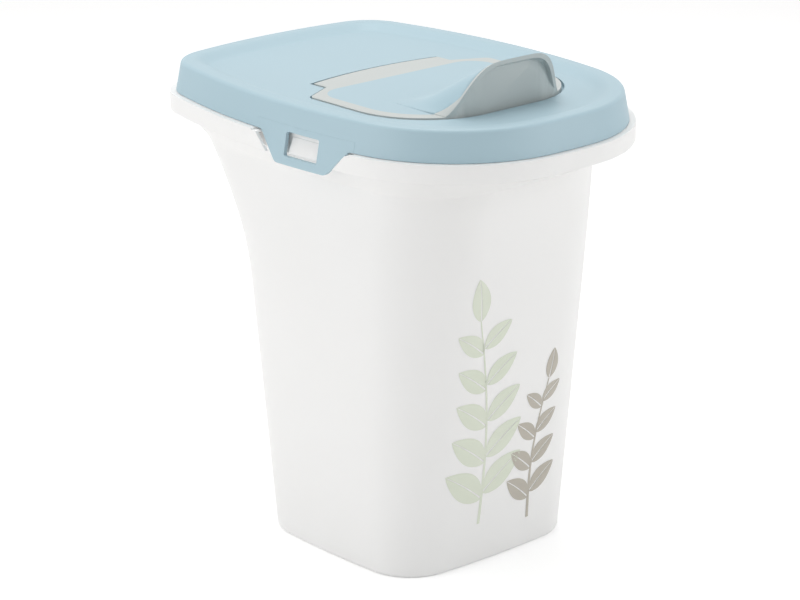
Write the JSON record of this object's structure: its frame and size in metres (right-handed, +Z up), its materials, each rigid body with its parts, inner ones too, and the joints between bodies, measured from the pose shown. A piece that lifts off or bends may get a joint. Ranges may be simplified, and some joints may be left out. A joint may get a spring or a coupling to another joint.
{
  "type": "food storage container",
  "caption": "Tall translucent food keeper with a flared rear wall, a press-down lid and a hinged pouring flap with a grip lip.",
  "frame": {"origin": "on the floor, under the middle of the lid and rim", "axes": "+Z up, -Y towards the pouring front, +Y towards the flared rear, +X to the right seen from the front"},
  "size_m": [0.2322, 0.3114, 0.3447],
  "materials": {
    "frosted_tub": "frosted translucent polypropylene, satin",
    "lid_plastic": "pale blue polypropylene, fine satin",
    "flap_plastic": "light warm grey polypropylene, fine satin"
  },
  "bodies": {
    "container": {"container_body": "frosted_tub"},
    "lid": {"lid": "lid_plastic"},
    "flap": {"flap_frame": "flap_plastic", "flap_inlay": "lid_plastic"},
    "loop_left": {"side_loop_left": "lid_plastic"},
    "loop_right": {"side_loop_right": "lid_plastic"}
  },
  "joints": [
    {"name": "lid_lift", "type": "slide", "parent": "container", "child": "lid", "axis": [0, 0, 1], "range_m": [0, 0.12]},
    {"name": "flap_hinge", "type": "hinge", "parent": "lid", "child": "flap", "pos_m": [0, 0.0285, 0.3087], "axis": [-1, 0, 0], "range_deg": [0, 105]},
    {"name": "loop_left_bend", "type": "hinge", "parent": "lid", "child": "loop_left", "pos_m": [-0.11076, -0.0235, 0.2985], "axis": [-0.0494, 0.9988, 0], "range_deg": [0, 18]},
    {"name": "loop_right_bend", "type": "hinge", "parent": "lid", "child": "loop_right", "pos_m": [0.11076, -0.0235, 0.2985], "axis": [-0.0494, -0.9988, 0], "range_deg": [0, 18]}
  ]
}
